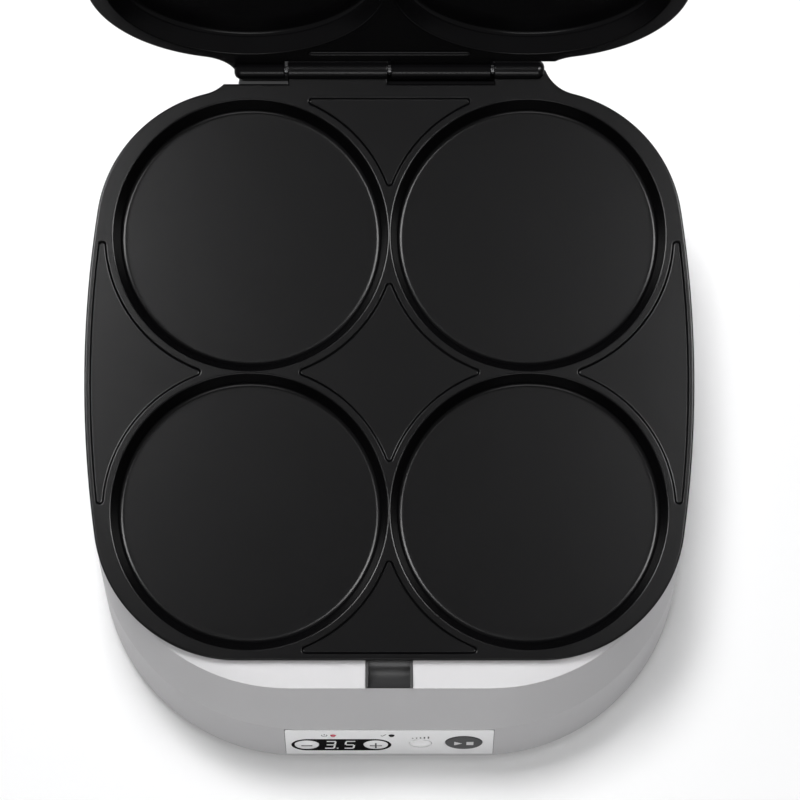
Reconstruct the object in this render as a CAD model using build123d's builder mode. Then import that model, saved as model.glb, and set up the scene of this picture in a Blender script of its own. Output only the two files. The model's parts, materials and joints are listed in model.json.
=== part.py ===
from build123d import *
import math
import os

os.makedirs("parts", exist_ok=True)

# Countertop pancake maker, millimetres. The origin is on the table under the middle of the four
# wells, +X to the right, +Y to the back, +Z up. The lid is modelled closed and then swung open.

# Cooking plates: one casting, used twice. Cuts run past what they open by the spare length.
well_radius = 62.0
well_gap = 2.0
well_depth = 9.5
well_draft = 2.5
well_mouth_round = 0.8
well_floor_round = 2.4
casting_wall = 2.5
deck_thickness = 3.2
plate_side_land = 11.8
plate_end_land = 5.0
plate_corner_radius = 68.0
side_bow_radius = 686.0
deck_edge_chamfer = 0.6
panel_depth = 1.2
panel_border = 4.5
panel_edge_inset = 4.0
panel_end_inset = 5.0
panel_half_length = 58.0
panel_end_half_width = 37.6
plate_boss_radius = 5.0
plate_boss_inset = 18.0
plate_boss_height = 12.0
cut_spare = 1.0

# Hinge: cast knuckles on one pin
mating_z = 62.0
mating_gap = 0.6
hinge_setback = 9.0
knuckle_radius = 4.35
knuckle_inner = 47.0
knuckle_outer = 70.7
knuckle_gap = 1.4
knuckle_end_round = 2.0
knuckle_wall_end = 2.4
hinge_step = 2.6
neck_overhang = -0.7
neck_round = 9.0
neck_round_share = 0.9
pin_radius = 2.0
pin_clearance = 0.05
pin_end_play = 0.3
lid_open_angle = 107.0

# Base housing: heights and reach of the three front bands
wall = 2.5
rim_overhang = 0.7
seat_width = 1.8
housing_bottom_z = 4.0
lower_crease_z = 38.0
upper_crease_drop = 1.5
upper_crease_reach = 12.4
lower_crease_reach = 30.0
bottom_reach = 41.0
upper_crease_radius = 89.0
lower_crease_radius = 91.5
bottom_radius = 91.0
side_flare = 1.7
crease_flare = 0.57
neck_wall_gap = 0.45
neck_set_in = 0.3
shelf_thickness = 2.5
shelf_width = 30.0
shelf_opening_radius = 60.0

# Bottom, feet and screws
cover_thickness = 2.5
cover_clearance = 0.3
cover_boss_radius = 4.5
cover_boss_inset = 19.8
cover_boss_y = 45.0
screw_radius = 1.5
screw_head_radius = 3.2
screw_head_height = 1.8
screw_length = 10.0
screw_hole_clearance = 0.1
foot_radius = 9.0
foot_chamfer = 0.8
foot_spigot_radius = 3.0
foot_spigot_length = 5.0
foot_side_inset = 36.8
foot_front_inset = 2.0
foot_rear_inset = 30.0
vent_x = 60.0
vent_length = 46.0
vent_width = 3.0
vent_pitch = 9.0
vent_count = 6

# Heating
element_radius = 3.25
element_half = 63.0
element_bend = 36.0
element_clearance = 0.2
element_terminal_x = 14.0
element_terminal_bend = 8.0
element_terminal_length = 18.0
shield_thickness = 1.0
shield_depth = 6.5
shield_lip = 4.0
shield_clearance = 1.0
sensor_radius = 8.0
sensor_height = 5.0
sensor_chamfer = 1.0
fuse_radius = 2.2
fuse_length = 24.0
fuse_y = 20.0
fuse_chamfer = 0.7

# Control strip on the lowest front band, measured up its slope from the strip's middle
fascia_width = 95.0
fascia_height = 31.2
fascia_below_crease = 17.0
fascia_thickness = 1.2
fascia_proud = 0.3
fascia_fit = 0.2
fascia_corner = 0.8
fascia_ledge = 1.0
capsule_end_border = 1.4
capsule_side_border = 2.0
capsule_y = -3.4
window_flange = 0.9
window_flange_thickness = 0.8
dial_button_radius = 5.7
minus_inset = 9.7
dial_spacing = 31.6
extra_button_radius = 5.1
extra_spacing = 19.8
extra_y = -1.4
start_button_radius = 8.5
start_inset = 13.5
start_y = -0.2
button_clearance = 0.2
button_proud = 1.3
button_chamfer = 0.5
button_flange = 0.8
button_flange_thickness = 0.5
button_stem_radius = 1.8
button_stem_end = 5.2
button_travel = 0.8
button_rest_gap = 0.1
switch_size = 6.0
switch_body_height = 2.6
switch_plunger_radius = 1.6
switch_plunger_height = 1.0
lens_radius = 1.4
lens_shoulder = 0.6
lens_dome = 0.47
lens_y = 9.2
power_lens_inset = 21.9
ready_lens_spacing = 26.6
board_overhang = 6.5
board_bottom_y = -11.5
board_top_y = 12.5
board_thickness = 1.6
board_boss_inset = 4.0
board_boss_y = 8.5
board_boss_radius = 2.6
board_boss_seat = 0.25
board_screw_radius = 0.75
board_screw_length = 4.5
board_screw_head_radius = 1.6
board_screw_head_height = 0.9
display_width = 16.0
display_height = 13.0
display_gap = 0.6
led_radius = 1.2

# Catch insert in the uppermost front band
catch_half_width = 10.75
catch_fit = 0.15
catch_side_wall = 1.3
catch_back = 14.0
scoop_radius = 8.0
scoop_setback = 4.6

# Power board, terminal block and cord gland
power_board_length = 76.0
power_board_width = 52.0
power_board_lift = 8.0
power_board_y = 20.0
standoff_radius = 3.0
standoff_inset = 5.0
relay_length = 20.0
relay_width = 16.0
relay_height = 15.0
relay_x = 19.0
relay_chamfer = 0.8
terminal_length = 34.0
terminal_width = 14.0
terminal_height = 12.0
terminal_setback = 34.0
terminal_pitch = 11.0
terminal_row_pitch = 7.0
terminal_screw_depth = 3.0
gland_x = 45.0
gland_z = 19.0
gland_bore_radius = 3.6
gland_body_radius = 6.0
gland_flange_radius = 8.0
gland_flange_thickness = 2.5
gland_inside_length = 5.0
gland_chamfer = 0.8

# Lid
lid_frame_height = 18.0
lid_shoulder_height = 12.0
lid_top_height = 8.0
lid_shoulder_draw = 8.0
lid_top_draw = 24.0
lid_lap = 3.0
lid_lap_fit = 0.2
handle_half_width = 44.0
handle_reach = 27.0
handle_thickness = 12.0
handle_tip_thickness = 7.0
handle_lift = 3.0
handle_corner = 16.0
handle_edge_round = 2.2
handle_slot_half = 11.3
handle_slot_front = 20.0
handle_slot_back = 4.0
handle_screw_x = 30.0
handle_screw_length = 9.0
handle_screw_head = 2.6
latch_pin_radius = 1.5
latch_pin_reach = 12.5
latch_pin_length = 32.0
latch_barrel_radius = 3.6
clip_half_width = 9.0
clip_thickness = 3.0
clip_hook_thickness = 3.6
clip_hook_reach = 1.2
clip_hook_gap = 0.9
clip_hook_bevel = 1.1
clip_slant = 5.4
clip_tab_height = 9.0
clip_open_angle = 9.0

# Worked out from the sizes above
well_offset = well_radius + well_gap / 2
plate_half_width = well_offset + well_radius + plate_side_land
plate_half_depth = well_offset + well_radius + plate_end_land
plate_boss_reach = plate_half_depth - plate_boss_inset
shelf_opening_half = plate_half_depth - shelf_width
hinge_y = plate_half_depth + hinge_setback
step_y = plate_half_depth + hinge_step
neck_half = knuckle_outer + neck_overhang
neck_rear_y = hinge_y - knuckle_radius - neck_wall_gap
deck_top = -mating_gap / 2
deck_bottom = deck_top - deck_thickness
floor_underside = deck_top - well_depth - casting_wall
boss_end = deck_bottom - plate_boss_height
seat_z = mating_z + deck_bottom
upper_crease_z = seat_z - upper_crease_drop
shelf_top = mating_z + boss_end
shelf_bottom = shelf_top - shelf_thickness
shelf_middle = shelf_top - shelf_thickness / 2
cover_top = housing_bottom_z + cover_thickness
lid_seat_z = mating_z - deck_bottom
hinge_axis = Axis((0, hinge_y, mating_z), (1, 0, 0))
boss_spots = [(plate_boss_reach, 0), (-plate_boss_reach, 0), (0, plate_boss_reach), (0, -plate_boss_reach)]
well_spots = [(x * well_offset, y * well_offset) for x in (-1, 1) for y in (-1, 1)]
cover_boss_x = plate_half_width - cover_boss_inset
cover_spots = [(x * cover_boss_x, y * cover_boss_y) for x in (-1, 1) for y in (-1, 1)]
foot_x = plate_half_width - foot_side_inset
foot_rows = (-plate_half_depth + foot_front_inset, plate_half_depth - foot_rear_inset)
foot_spots = [(x * foot_x, y) for x in (-1, 1) for y in foot_rows]
terminal_y = plate_half_depth - terminal_setback
minus_x = minus_inset - fascia_width / 2
plus_x = minus_x + dial_spacing
start_x = fascia_width / 2 - start_inset
extra_x = start_x - extra_spacing
power_lens_x = power_lens_inset - fascia_width / 2
ready_lens_x = power_lens_x + ready_lens_spacing
capsule_x = (minus_x + plus_x) / 2
capsule_length = dial_spacing + 2 * (dial_button_radius + capsule_end_border)
capsule_height = 2 * (dial_button_radius + capsule_side_border)
board_half_width = fascia_width / 2 + board_overhang
board_boss_x = board_half_width - board_boss_inset


def side_x(half_width, y):
    """Half width of the bowed side at a distance y from the middle."""
    return half_width - side_bow_radius + math.sqrt(side_bow_radius ** 2 - y ** 2)


def bowed_outline(height, front_y, rear_y, half_width, front_radius, rear_radius):
    """Closed outline with straight ends, bowed sides and large round corners."""
    with BuildSketch(Plane.XY.offset(height), mode=Mode.PRIVATE) as outline:
        with BuildLine():
            front = Line((-side_x(half_width, front_y), front_y), (side_x(half_width, front_y), front_y))
            right = ThreePointArc(front @ 1, (half_width, 0), (side_x(half_width, rear_y), rear_y))
            rear = Line(right @ 1, (-side_x(half_width, rear_y), rear_y))
            ThreePointArc(rear @ 1, (-half_width, 0), front @ 0)
        make_face()
        front_corners = outline.vertices().group_by(Axis.Y)[0]
        fillet(front_corners, front_radius)
        rear_corners = outline.vertices().group_by(Axis.Y)[-1]
        fillet(rear_corners, rear_radius)
    return outline.sketch


def plate_outline(height, inset):
    """The cooking plate's outline without its hinge neck, drawn in by an inset."""
    return bowed_outline(
        height,
        -plate_half_depth + inset,
        plate_half_depth - inset,
        plate_half_width - inset,
        plate_corner_radius - inset,
        plate_corner_radius - inset,
    )


def necked_outline(height, inset, rear_y):
    """The plate's outline with the hinge neck, whose roots are rounded into the rear corners."""
    with BuildSketch(Plane.XY.offset(height), mode=Mode.PRIVATE) as outline:
        add(plate_outline(0, inset))
        with Locations((0, rear_y / 2)):
            Rectangle(2 * (neck_half - inset), rear_y)
        neck_corners = outline.vertices().filter_by(lambda v: abs(abs(v.X) - neck_half + inset) < cut_spare)
        roots = neck_corners.filter_by(lambda v: 0 < v.Y).group_by(Axis.Y)[0]
        fillet(roots, min(neck_round, neck_round_share * (rear_y - roots[0].Y)))
    return outline.sketch


# Housing bands: height, reach of the front beyond the plate, growth of the sides, corner radius
housing_bands = [
    (seat_z, -rim_overhang, -rim_overhang, plate_corner_radius - rim_overhang),
    (upper_crease_z, upper_crease_reach, 0.0, upper_crease_radius),
    (lower_crease_z, lower_crease_reach, crease_flare, lower_crease_radius),
    (housing_bottom_z, bottom_reach, side_flare, bottom_radius),
]


def housing_section(height, inset, drop):
    """The housing's outline at a height, between the bands above and below it, drawn lower by a drop."""
    for upper, lower in zip(housing_bands, housing_bands[1:]):
        if lower[0] <= height:
            break
    share = (upper[0] - height) / (upper[0] - lower[0])
    front, side, corner = [upper[i] + share * (lower[i] - upper[i]) for i in (1, 2, 3)]
    return bowed_outline(
        height - drop,
        -plate_half_depth - front + inset,
        plate_half_depth + side - inset,
        plate_half_width + side - inset,
        corner - inset,
        plate_corner_radius + side - inset,
    )


# The control strip's plane: x to the right, y up the slope, z out of the front
band_rise = lower_crease_z - housing_bottom_z
band_run = bottom_reach - lower_crease_reach
band_length = math.hypot(band_rise, band_run)
slope_up = Vector(0, band_run / band_length, band_rise / band_length)
slope_out = Vector(0, -band_rise / band_length, band_run / band_length)
crease_point = Vector(0, -plate_half_depth - lower_crease_reach, lower_crease_z)
strip_middle = crease_point - slope_up * fascia_below_crease
strip_plane = Plane(origin=strip_middle, x_dir=(1, 0, 0), z_dir=slope_out)


def strip_level(out):
    """The control strip's plane, moved out of the housing's face."""
    return strip_plane.offset(out)


fascia_back = fascia_proud - fascia_thickness
window_back = fascia_back - window_flange_thickness
button_flange_top = window_back - button_clearance
switch_top = fascia_proud - button_stem_end - button_travel - button_rest_gap
board_face = switch_top - switch_plunger_height - switch_body_height
button_spots = [
    (minus_x, capsule_y, dial_button_radius),
    (plus_x, capsule_y, dial_button_radius),
    (extra_x, extra_y, extra_button_radius),
    (start_x, start_y, start_button_radius),
]
lens_spots = [(power_lens_x, lens_y), (ready_lens_x, lens_y)]
board_spots = [(x * board_boss_x, y * board_boss_y) for x in (-1, 1) for y in (-1, 1)]


# Cooking plate casting, drawn with the mating plane at zero and its wells below
lower_spans = [
    (-knuckle_inner + knuckle_gap / 2, -knuckle_gap / 2),
    (knuckle_inner + knuckle_gap / 2, knuckle_outer),
]
upper_spans = [
    (-knuckle_outer, -knuckle_inner - knuckle_gap / 2),
    (knuckle_gap / 2, knuckle_inner - knuckle_gap / 2),
]
bore_half = knuckle_outer - knuckle_wall_end

with BuildPart() as deck:
    with BuildSketch(Plane.XY.offset(deck_bottom)) as deck_face:
        add(necked_outline(0, 0, hinge_y))
        for start, end in upper_spans:
            cut_start = start - (neck_round if start == -knuckle_outer else knuckle_gap)
            cut_end = end + knuckle_gap
            with Locations(((cut_start + cut_end) / 2, step_y + hinge_setback)):
                Rectangle(cut_end - cut_start, 2 * hinge_setback, mode=Mode.SUBTRACT)
    extrude(amount=deck_thickness)
    chamfer(deck.faces().sort_by(Axis.Z)[-1].outer_wire().edges(), deck_edge_chamfer)

with BuildPart() as dish:
    with BuildSketch(Plane.XZ):
        with BuildLine():
            Polyline(
                (0, floor_underside),
                (well_radius - well_draft + casting_wall, floor_underside),
                (well_radius + casting_wall, deck_bottom + deck_thickness / 2),
                (0, deck_bottom + deck_thickness / 2),
                close=True,
            )
        make_face()
    revolve(axis=Axis.Z)
    fillet(dish.edges().group_by(Axis.Z)[0], well_floor_round + casting_wall)

with BuildPart() as well:
    with BuildSketch(Plane.XZ):
        with BuildLine():
            Polyline(
                (0, deck_top - well_depth),
                (well_radius - well_draft, deck_top - well_depth),
                (well_radius, deck_top),
                (well_radius, -deck_top),
                (0, -deck_top),
                close=True,
            )
        make_face()
    revolve(axis=Axis.Z)
    fillet(well.edges().group_by(Axis.Z)[0], well_floor_round)

with BuildPart() as panels:
    with BuildSketch(Plane.XY.offset(deck_top - panel_depth)):
        add(plate_outline(0, panel_edge_inset))
        Rectangle(4 * plate_half_width, 2 * panel_half_length, mode=Mode.INTERSECT)
        Rectangle(2 * panel_end_half_width, 2 * (plate_half_depth - panel_end_inset))
        with Locations(well_spots):
            Circle(well_radius + panel_border, mode=Mode.SUBTRACT)
    extrude(amount=panel_depth + mating_gap)

with BuildPart() as knuckles:
    for start, end in lower_spans:
        with BuildSketch(Plane.YZ.offset(start)):
            with Locations((hinge_y, 0)):
                Circle(knuckle_radius)
        extrude(amount=end - start)
    fillet(knuckles.edges().group_by(Axis.X)[-1], knuckle_end_round)

with BuildPart() as casting:
    add(deck.part)
    add(knuckles.part)
    with Locations(well_spots):
        add(dish.part)
    # Bosses that take the plate's screws
    with BuildSketch(Plane.XY.offset(boss_end)):
        with Locations(boss_spots):
            Circle(plate_boss_radius)
    extrude(amount=plate_boss_height)
    with Locations(well_spots):
        add(well.part, mode=Mode.SUBTRACT)
    add(panels.part, mode=Mode.SUBTRACT)
    with BuildSketch(Plane.XY.offset(boss_end)):
        with Locations(boss_spots):
            Circle(screw_radius + screw_hole_clearance)
    extrude(amount=plate_boss_height, mode=Mode.SUBTRACT)
    with BuildSketch(Plane.YZ.offset(-bore_half)):
        with Locations((hinge_y, 0)):
            Circle(pin_radius + pin_clearance)
    extrude(amount=2 * bore_half, mode=Mode.SUBTRACT)
    mouths = casting.edges().filter_by(GeomType.CIRCLE)
    mouths = mouths.filter_by(lambda e: abs(e.radius - well_radius) < well_mouth_round)
    fillet(mouths, well_mouth_round)

# Heating element: a rounded square loop with both ends turned down
element_z = floor_underside - element_clearance - element_radius
with BuildPart() as element:
    with BuildLine() as element_line:
        FilletPolyline(
            (-element_terminal_x, element_half, element_z - element_terminal_length),
            (-element_terminal_x, element_half, element_z),
            (-element_half, element_half, element_z),
            (-element_half, -element_half, element_z),
            (element_half, -element_half, element_z),
            (element_half, element_half, element_z),
            (element_terminal_x, element_half, element_z),
            (element_terminal_x, element_half, element_z - element_terminal_length),
            radius=[element_terminal_bend] + 4 * [element_bend] + [element_terminal_bend],
        )
    with BuildSketch(Plane.XY.offset(element_z - element_terminal_length)):
        with Locations((-element_terminal_x, element_half)):
            Circle(element_radius)
    sweep(path=element_line.wire())

# Heat shield: a shallow tray whose lip lies on the shelf
tray_half = shelf_opening_half - shield_clearance
tray_radius = shelf_opening_radius - shield_clearance
tray_inside = tray_half - shield_thickness
with BuildPart() as shield:
    with BuildSketch(Plane.XY.offset(boss_end)):
        RectangleRounded(2 * (tray_half + shield_lip), 2 * (tray_half + shield_lip), tray_radius + shield_lip)
    extrude(amount=shield_thickness)
    with BuildSketch(Plane.XY.offset(boss_end - shield_depth)):
        RectangleRounded(2 * tray_half, 2 * tray_half, tray_radius)
    extrude(amount=shield_depth)
    with BuildSketch(Plane.XY.offset(boss_end - shield_depth + shield_thickness)):
        RectangleRounded(2 * tray_inside, 2 * tray_inside, tray_radius - shield_thickness)
    extrude(amount=shield_depth, mode=Mode.SUBTRACT)
    with BuildSketch(Plane.XY.offset(boss_end - shield_depth)):
        with Locations([(x * element_terminal_x, element_half) for x in (-1, 1)]):
            Circle(element_radius + shield_clearance)
    extrude(amount=shield_depth, mode=Mode.SUBTRACT)

# Four screws that hold a plate to its shelf
with BuildPart() as plate_screws:
    with BuildSketch(Plane.XY.offset(boss_end - shelf_thickness)):
        with Locations(boss_spots):
            Circle(screw_radius)
    extrude(amount=screw_length)
    with BuildSketch(Plane.XY.offset(boss_end - shelf_thickness - screw_head_height)):
        with Locations(boss_spots):
            Circle(screw_head_radius)
    extrude(amount=screw_head_height)

# Thermal fuse, a small capsule across the underside of the deck
with BuildPart() as fuse:
    with BuildSketch(Plane.YZ.offset(-fuse_length / 2)):
        with Locations((fuse_y, deck_bottom - fuse_radius)):
            Circle(fuse_radius)
    extrude(amount=fuse_length)
    chamfer(fuse.edges().filter_by(GeomType.CIRCLE), fuse_chamfer)


def in_base(drawn):
    """Lift a piece drawn about the mating plane to its place in the base."""
    return drawn.moved(Location((0, 0, mating_z)))


def in_lid(drawn):
    """Turn a piece drawn about the mating plane over, into the closed lid, and swing it open."""
    return swung_open(drawn.rotate(Axis.Y, 180).moved(Location((0, 0, mating_z))))


def swung_open(closed):
    """Swing a lid piece from its closed place to the open stop."""
    return closed.rotate(hinge_axis, -lid_open_angle)


with BuildPart() as lower_cooking_plate:
    add(in_base(casting.part))
lower_cooking_plate.part.label = "lower_cooking_plate"
export_step(lower_cooking_plate.part, "parts/lower_cooking_plate.step")

with BuildPart() as upper_cooking_plate:
    add(in_lid(casting.part))
upper_cooking_plate.part.label = "upper_cooking_plate"
export_step(upper_cooking_plate.part, "parts/upper_cooking_plate.step")

with BuildPart() as lower_heating_element:
    add(in_base(element.part))
lower_heating_element.part.label = "lower_heating_element"
export_step(lower_heating_element.part, "parts/lower_heating_element.step")

with BuildPart() as upper_heating_element:
    add(in_lid(element.part))
upper_heating_element.part.label = "upper_heating_element"
export_step(upper_heating_element.part, "parts/upper_heating_element.step")

with BuildPart() as lower_heat_shield:
    add(in_base(shield.part))
lower_heat_shield.part.label = "lower_heat_shield"
export_step(lower_heat_shield.part, "parts/lower_heat_shield.step")

with BuildPart() as upper_heat_shield:
    add(in_lid(shield.part))
upper_heat_shield.part.label = "upper_heat_shield"
export_step(upper_heat_shield.part, "parts/upper_heat_shield.step")

with BuildPart() as lower_plate_screws:
    add(in_base(plate_screws.part))
lower_plate_screws.part.label = "lower_plate_screws"
export_step(lower_plate_screws.part, "parts/lower_plate_screws.step")

with BuildPart() as upper_plate_screws:
    add(in_lid(plate_screws.part))
upper_plate_screws.part.label = "upper_plate_screws"
export_step(upper_plate_screws.part, "parts/upper_plate_screws.step")

with BuildPart() as lower_thermal_fuse:
    add(in_base(fuse.part))
lower_thermal_fuse.part.label = "lower_thermal_fuse"
export_step(lower_thermal_fuse.part, "parts/lower_thermal_fuse.step")

with BuildPart() as upper_thermal_fuse:
    add(in_lid(fuse.part))
upper_thermal_fuse.part.label = "upper_thermal_fuse"
export_step(upper_thermal_fuse.part, "parts/upper_thermal_fuse.step")

with BuildPart() as temperature_sensor:
    with BuildSketch(Plane.XY.offset(seat_z - sensor_height)):
        Circle(sensor_radius)
    extrude(amount=sensor_height)
    chamfer(temperature_sensor.edges().group_by(Axis.Z)[0], sensor_chamfer)
temperature_sensor.part.label = "temperature_sensor"
export_step(temperature_sensor.part, "parts/temperature_sensor.step")

with BuildPart() as hinge_pin:
    pin_half = bore_half - pin_end_play
    with BuildSketch(Plane.YZ.offset(-pin_half)):
        with Locations((hinge_y, mating_z)):
            Circle(pin_radius)
    extrude(amount=2 * pin_half)
hinge_pin.part.label = "hinge_pin"
export_step(hinge_pin.part, "parts/hinge_pin.step")


# Base housing: front bands lofted between four outlines, hollow, with a shelf for the plate
cavity_top = upper_crease_z - wall
neck_start = plate_half_depth / 2
with BuildPart() as cavity:
    loft(
        [
            housing_section(housing_bottom_z, wall, cut_spare),
            housing_section(lower_crease_z, wall, 0),
            housing_section(upper_crease_z, wall, wall),
        ],
        ruled=True,
    )
    # Hollow of the hinge neck, above its floor
    with BuildSketch(Plane.XY.offset(cover_top)):
        add(necked_outline(0, rim_overhang + wall, neck_rear_y - wall))
        with Locations((0, neck_start + plate_half_depth)):
            Rectangle(4 * plate_half_width, 2 * plate_half_depth, mode=Mode.INTERSECT)
    extrude(amount=cavity_top - cover_top)
    with BuildSketch(Plane.XY.offset(cavity_top)):
        add(plate_outline(0, rim_overhang + seat_width))
    extrude(amount=seat_z - cavity_top + cut_spare)

with BuildPart() as base_housing:
    loft([housing_section(band[0], 0, 0) for band in reversed(housing_bands)], ruled=True)
    with BuildSketch(Plane.XY.offset(housing_bottom_z)):
        add(necked_outline(0, rim_overhang + neck_set_in, neck_rear_y))
        with Locations((0, neck_start + plate_half_depth)):
            Rectangle(4 * plate_half_width, 2 * plate_half_depth, mode=Mode.INTERSECT)
    extrude(amount=seat_z - housing_bottom_z)
    add(cavity.part, mode=Mode.SUBTRACT)
    # Shelf round the heat shield
    with BuildSketch(Plane.XY.offset(shelf_bottom)):
        add(housing_section(shelf_middle, wall / 2, shelf_middle))
        RectangleRounded(
            2 * shelf_opening_half, 2 * shelf_opening_half, shelf_opening_radius, mode=Mode.SUBTRACT
        )
        with Locations(boss_spots):
            Circle(screw_radius + screw_hole_clearance, mode=Mode.SUBTRACT)
    extrude(amount=shelf_thickness)
    # Bosses for the bottom cover's screws
    with BuildSketch(Plane.XY.offset(cover_top)):
        with Locations(cover_spots):
            Circle(cover_boss_radius)
            Circle(screw_radius + screw_hole_clearance, mode=Mode.SUBTRACT)
    extrude(amount=shelf_bottom - cover_top)
    # Pocket and opening of the control strip
    with BuildSketch(strip_level(fascia_back)):
        Rectangle(fascia_width + 2 * fascia_fit, fascia_height + 2 * fascia_fit)
    extrude(amount=fascia_thickness + cut_spare, mode=Mode.SUBTRACT)
    with BuildSketch(strip_level(-2 * wall)):
        Rectangle(fascia_width - 2 * fascia_ledge, fascia_height - 2 * fascia_ledge)
    extrude(amount=2 * wall, mode=Mode.SUBTRACT)
    # Bosses for the control board
    with BuildSketch(strip_level(board_face)):
        with Locations(board_spots):
            Circle(board_boss_radius)
            Circle(board_screw_radius + screw_hole_clearance, mode=Mode.SUBTRACT)
    extrude(amount=-board_face - wall + board_boss_seat)
    # Seat of the catch
    with BuildSketch(Plane.XY.offset(shelf_top)):
        with Locations((0, -plate_half_depth - upper_crease_reach + catch_back / 2)):
            Rectangle(2 * catch_half_width, catch_back)
    extrude(amount=seat_z - shelf_top + cut_spare, mode=Mode.SUBTRACT)
    # Hole of the cord gland
    with BuildSketch(Plane.XZ.offset(-neck_rear_y - cut_spare)):
        with Locations((gland_x, gland_z)):
            Circle(gland_body_radius + screw_hole_clearance)
    extrude(amount=wall + 2 * cut_spare, mode=Mode.SUBTRACT)
base_housing.part.label = "base_housing"
export_step(base_housing.part, "parts/base_housing.step")

with BuildPart() as bottom_cover:
    with BuildSketch(Plane.XY.offset(housing_bottom_z)):
        add(housing_section(cover_top, wall + cover_clearance, cover_top))
        with Locations(cover_spots):
            Circle(screw_radius + screw_hole_clearance, mode=Mode.SUBTRACT)
        with Locations(foot_spots):
            Circle(foot_spigot_radius + screw_hole_clearance, mode=Mode.SUBTRACT)
        with GridLocations(2 * vent_x, vent_pitch, 2, vent_count):
            SlotOverall(vent_length, vent_width, mode=Mode.SUBTRACT)
    extrude(amount=cover_thickness)
    with BuildSketch(Plane.XY.offset(cover_top)):
        with Locations((0, power_board_y)):
            with GridLocations(
                power_board_length - 2 * standoff_inset, power_board_width - 2 * standoff_inset, 2, 2
            ):
                Circle(standoff_radius)
    extrude(amount=power_board_lift)
bottom_cover.part.label = "bottom_cover"
export_step(bottom_cover.part, "parts/bottom_cover.step")

with BuildPart() as bottom_cover_screws:
    with BuildSketch(Plane.XY.offset(housing_bottom_z)):
        with Locations(cover_spots):
            Circle(screw_radius)
    extrude(amount=screw_length)
    with BuildSketch(Plane.XY.offset(housing_bottom_z - screw_head_height)):
        with Locations(cover_spots):
            Circle(screw_head_radius)
    extrude(amount=screw_head_height)
bottom_cover_screws.part.label = "bottom_cover_screws"
export_step(bottom_cover_screws.part, "parts/bottom_cover_screws.step")

with BuildPart() as rubber_feet:
    with BuildSketch():
        with Locations(foot_spots):
            Circle(foot_radius)
    extrude(amount=housing_bottom_z)
    chamfer(rubber_feet.edges().group_by(Axis.Z)[0], foot_chamfer)
    with BuildSketch(Plane.XY.offset(housing_bottom_z)):
        with Locations(foot_spots):
            Circle(foot_spigot_radius)
    extrude(amount=foot_spigot_length)
rubber_feet.part.label = "rubber_feet"
export_step(rubber_feet.part, "parts/rubber_feet.step")

with BuildPart() as power_board:
    with BuildSketch(Plane.XY.offset(cover_top + power_board_lift)):
        with Locations((0, power_board_y)):
            Rectangle(power_board_length, power_board_width)
    extrude(amount=board_thickness)
power_board.part.label = "power_board"
export_step(power_board.part, "parts/power_board.step")

with BuildPart() as relay:
    with BuildSketch(Plane.XY.offset(cover_top + power_board_lift + board_thickness)):
        with Locations((relay_x, power_board_y)):
            Rectangle(relay_length, relay_width)
    extrude(amount=relay_height)
    chamfer(relay.edges().group_by(Axis.Z)[-1], relay_chamfer)
relay.part.label = "relay"
export_step(relay.part, "parts/relay.step")

with BuildPart() as terminal_block:
    with BuildSketch(Plane.XY.offset(cover_top)):
        with Locations((gland_x, terminal_y)):
            Rectangle(terminal_length, terminal_width)
    extrude(amount=terminal_height)
    with BuildSketch(Plane.XY.offset(cover_top + terminal_height)):
        with Locations((gland_x, terminal_y)):
            with GridLocations(terminal_pitch, terminal_row_pitch, 3, 2):
                Circle(screw_radius)
    extrude(amount=-terminal_screw_depth, mode=Mode.SUBTRACT)
terminal_block.part.label = "terminal_block"
export_step(terminal_block.part, "parts/terminal_block.step")

gland_rear_y = neck_rear_y + gland_flange_thickness
gland_front_y = neck_rear_y - wall - gland_inside_length
with BuildPart() as cord_gland:
    with BuildSketch(Plane.XZ.offset(-gland_rear_y)):
        with Locations((gland_x, gland_z)):
            Circle(gland_flange_radius)
    extrude(amount=gland_flange_thickness)
    chamfer(cord_gland.edges().group_by(Axis.Y)[-1], gland_chamfer)
    with BuildSketch(Plane.XZ.offset(-neck_rear_y)):
        with Locations((gland_x, gland_z)):
            Circle(gland_body_radius)
    extrude(amount=neck_rear_y - gland_front_y)
    with BuildSketch(Plane.XZ.offset(-gland_rear_y)):
        with Locations((gland_x, gland_z)):
            Circle(gland_bore_radius)
    extrude(amount=gland_rear_y - gland_front_y, mode=Mode.SUBTRACT)
cord_gland.part.label = "cord_gland"
export_step(cord_gland.part, "parts/cord_gland.step")

# Latch catch: an insert with a cylindrical scoop that reaches under the plate's front edge
catch_front_y = -plate_half_depth - upper_crease_reach + catch_fit
catch_rear_y = -plate_half_depth - upper_crease_reach + catch_back - catch_fit
with BuildPart() as latch_catch:
    with BuildSketch(Plane.XY.offset(shelf_top)):
        with Locations((0, (catch_front_y + catch_rear_y) / 2)):
            Rectangle(2 * (catch_half_width - catch_fit), catch_rear_y - catch_front_y)
    extrude(amount=seat_z - shelf_top - catch_fit)
    with BuildSketch(Plane.YZ.offset(-catch_half_width + catch_side_wall)):
        with Locations((-plate_half_depth - scoop_setback, seat_z)):
            Circle(scoop_radius)
    extrude(amount=2 * (catch_half_width - catch_side_wall), mode=Mode.SUBTRACT)
latch_catch.part.label = "latch_catch"
export_step(latch_catch.part, "parts/latch_catch.step")


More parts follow.
